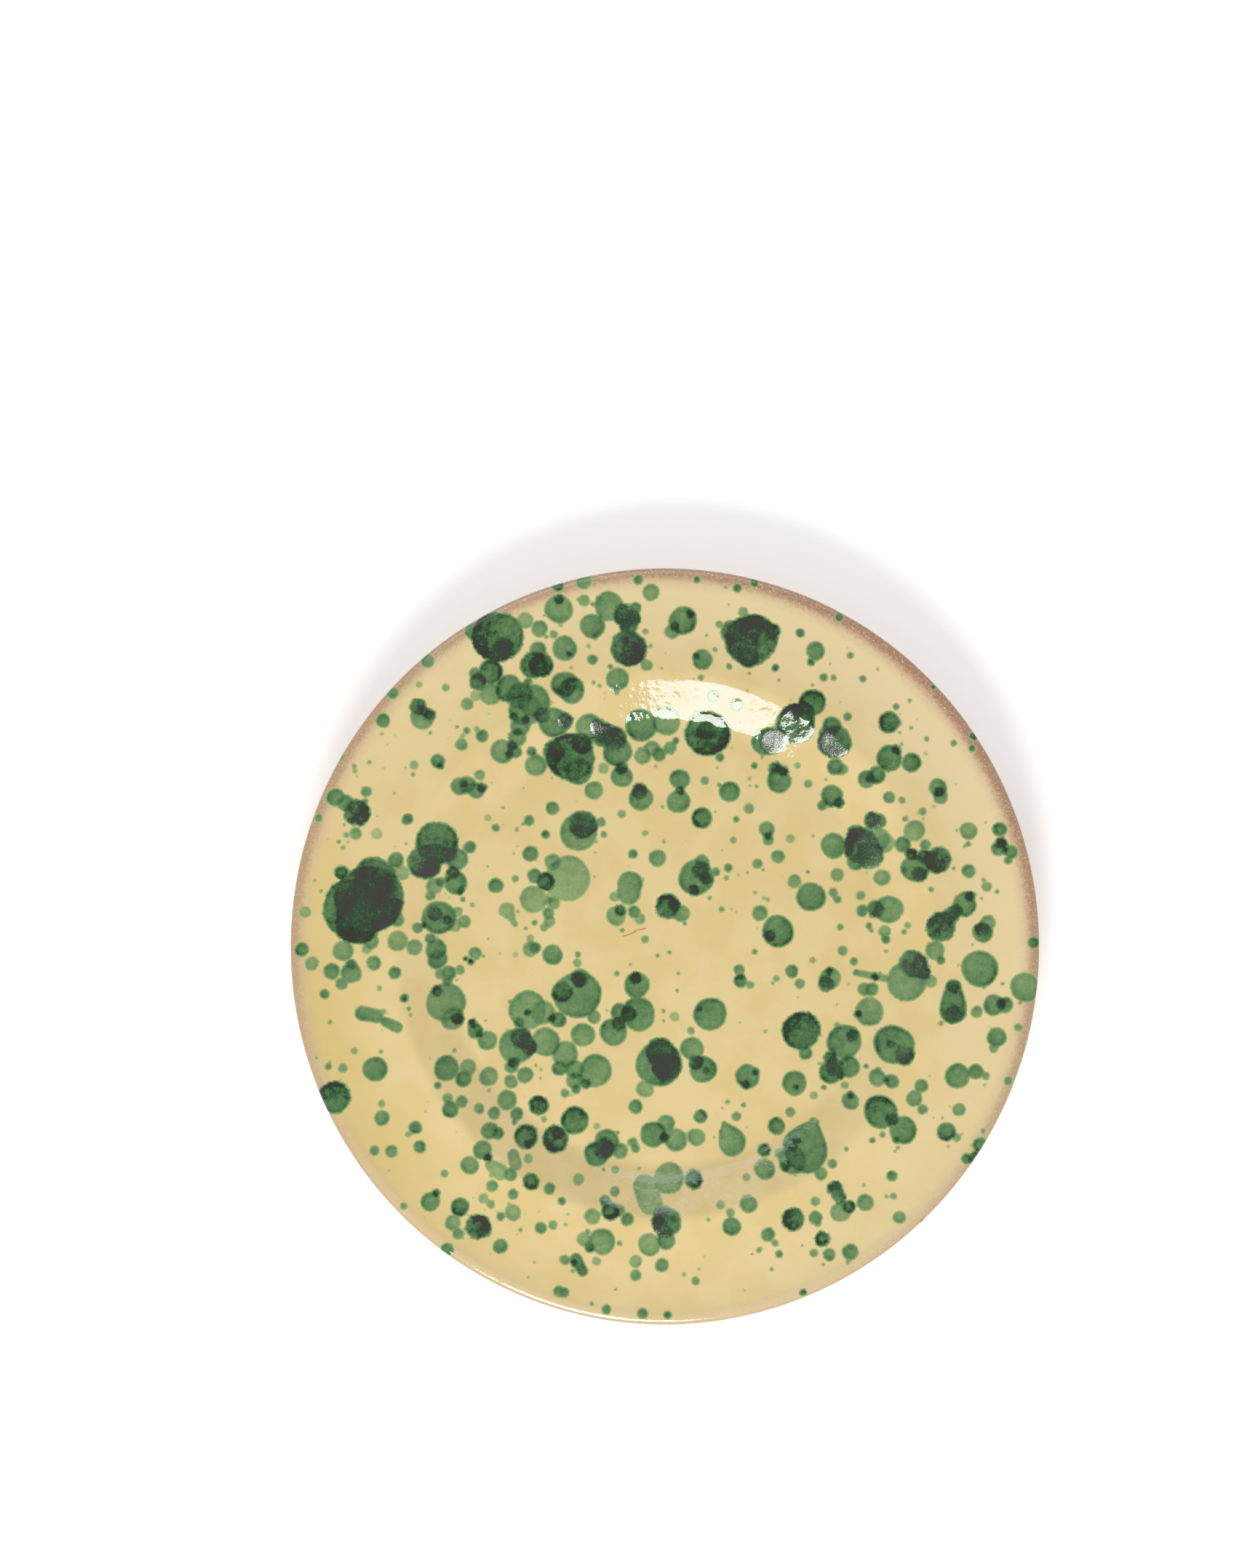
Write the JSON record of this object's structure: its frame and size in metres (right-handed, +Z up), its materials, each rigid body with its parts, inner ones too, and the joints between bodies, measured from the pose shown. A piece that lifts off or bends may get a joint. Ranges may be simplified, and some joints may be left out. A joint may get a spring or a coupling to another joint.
{
  "type": "dinner plate",
  "caption": "Round hand-thrown dinner plate with a flat well, sloping wall, broad upturned rim and foot ring, in straw-yellow glaze with green splashes.",
  "frame": {"origin": "centre of the foot ring's resting face, on the plate's axis of turning", "axes": "+Z up along the axis of turning, +X and +Y in the plane that the plate rests on"},
  "size_m": [0.27, 0.27, 0.023],
  "materials": {
    "clay": "bare fired red earthenware, matt",
    "foot_clay": "bare turned earthenware, matt, slightly worn where it rests",
    "slip": "cream slip, fired on under the glaze",
    "honey_glaze": "glossy straw-coloured clear glaze over cream slip",
    "lip_glaze": "thin speckled glaze breaking to clay brown at the lip",
    "back_glaze": "glossy honey glaze on bare clay",
    "dark_copper": "copper-saturated glaze, black green, finely grained sheen",
    "green_glaze": "glossy copper green glaze, mottled",
    "mid_green_glaze": "glossy mid green glaze, darker at the edges of each drop",
    "pale_green_glaze": "glossy pale green glaze"
  },
  "bodies": {
    "root": {"clay_body": "clay", "foot_ring": "foot_clay", "slip_coat": "slip", "face_glaze": "honey_glaze", "lip_glaze": "lip_glaze", "back_glaze": "back_glaze", "dark_pools": "dark_copper", "green_pools": "green_glaze", "green_drops": "mid_green_glaze", "green_specks": "pale_green_glaze"}
  },
  "joints": []
}
